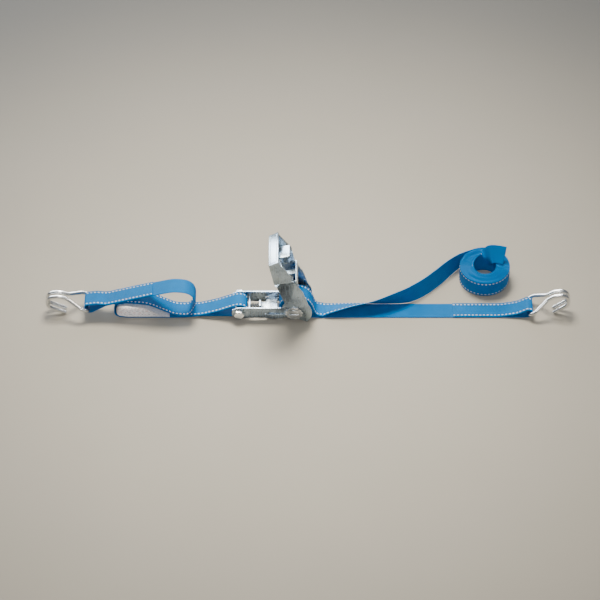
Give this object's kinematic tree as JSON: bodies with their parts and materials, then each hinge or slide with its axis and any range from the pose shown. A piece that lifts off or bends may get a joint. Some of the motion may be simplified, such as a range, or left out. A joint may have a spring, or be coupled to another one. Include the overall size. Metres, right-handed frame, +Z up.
{
  "type": "ratchet tie down",
  "caption": "Webbing tie down with a ratchet buckle: a short strap and a long strap, each ending in a double wire hook, and a rolled free tail.",
  "frame": {"origin": "on the underside of the long strap where it lies on the surface, straight below the spool axis and on the straps' centre line", "axes": "+X along the straps towards the long strap's hook, +Z up from the surface, +Y towards the side where the tail is rolled"},
  "size_m": [0.7061, 0.1232, 0.1233],
  "materials": {
    "zinc_plate": "satin",
    "zinc_steel": "satin",
    "spring_steel": "satin",
    "hook_wire": "bright",
    "blue_webbing": "woven",
    "white_label": "woven"
  },
  "bodies": {
    "base": {"frame_plate_front": "zinc_plate", "frame_plate_rear": "zinc_plate", "anchor_bolt": "zinc_steel", "anchor_nut": "zinc_steel", "anchor_sleeve": "zinc_steel", "spring_bar": "zinc_plate", "base_spring": "spring_steel", "short_strap_hook_eye": "blue_webbing", "short_strap_span": "blue_webbing", "short_strap_anchor_eye": "blue_webbing", "strap_label": "white_label", "main_strap": "blue_webbing", "main_strap_hook_eye": "blue_webbing", "spool_wrap": "blue_webbing", "tail_strap": "blue_webbing", "tail_coil": "blue_webbing", "tail_end": "blue_webbing"},
    "base_pawl": {"base_pawl": "zinc_plate"},
    "spool": {"spool_shaft_upper": "zinc_steel", "spool_shaft_lower": "zinc_steel", "wheel_front": "zinc_steel", "wheel_rear": "zinc_steel", "spool_cap_front": "zinc_steel", "spool_cap_rear": "zinc_steel", "spool_roll": "blue_webbing"},
    "handle": {"handle_shell": "zinc_plate", "handle_bridge": "zinc_plate", "handle_spring": "spring_steel"},
    "handle_pawl": {"handle_pawl": "zinc_plate"},
    "hook_left": {"hook_left": "hook_wire"},
    "hook_right": {"hook_right": "hook_wire"}
  },
  "joints": [
    {"name": "handle_hinge", "type": "hinge", "parent": "base", "child": "handle", "pos_m": [0, 0, 0.0182], "axis": [0, 1, 0], "range_deg": [-62, 90]},
    {"name": "spool_spin", "type": "hinge", "parent": "base", "child": "spool", "pos_m": [0, 0, 0.0182], "axis": [0, 1, 0], "continuous": true},
    {"name": "handle_pawl_slide", "type": "slide", "parent": "handle", "child": "handle_pawl", "axis": [-0.2588, 0, 0.9659], "range_m": [0, 0.004], "stiffness_N_per_m": 400, "springref_m": -0.004, "deforming": ["handle_spring"]},
    {"name": "base_pawl_slide", "type": "slide", "parent": "base", "child": "base_pawl", "axis": [-1, 0, 0], "range_m": [0, 0.004], "stiffness_N_per_m": 300, "springref_m": -0.004, "deforming": ["base_spring"]},
    {"name": "hook_left_swivel", "type": "hinge", "parent": "base", "child": "hook_left", "pos_m": [-0.277, 0, 0.016], "axis": [0, 1, 0], "range_deg": [0, 60]},
    {"name": "hook_right_swivel", "type": "hinge", "parent": "base", "child": "hook_right", "pos_m": [0.317, 0, 0.008], "axis": [0, -1, 0], "range_deg": [0, 110]}
  ]
}
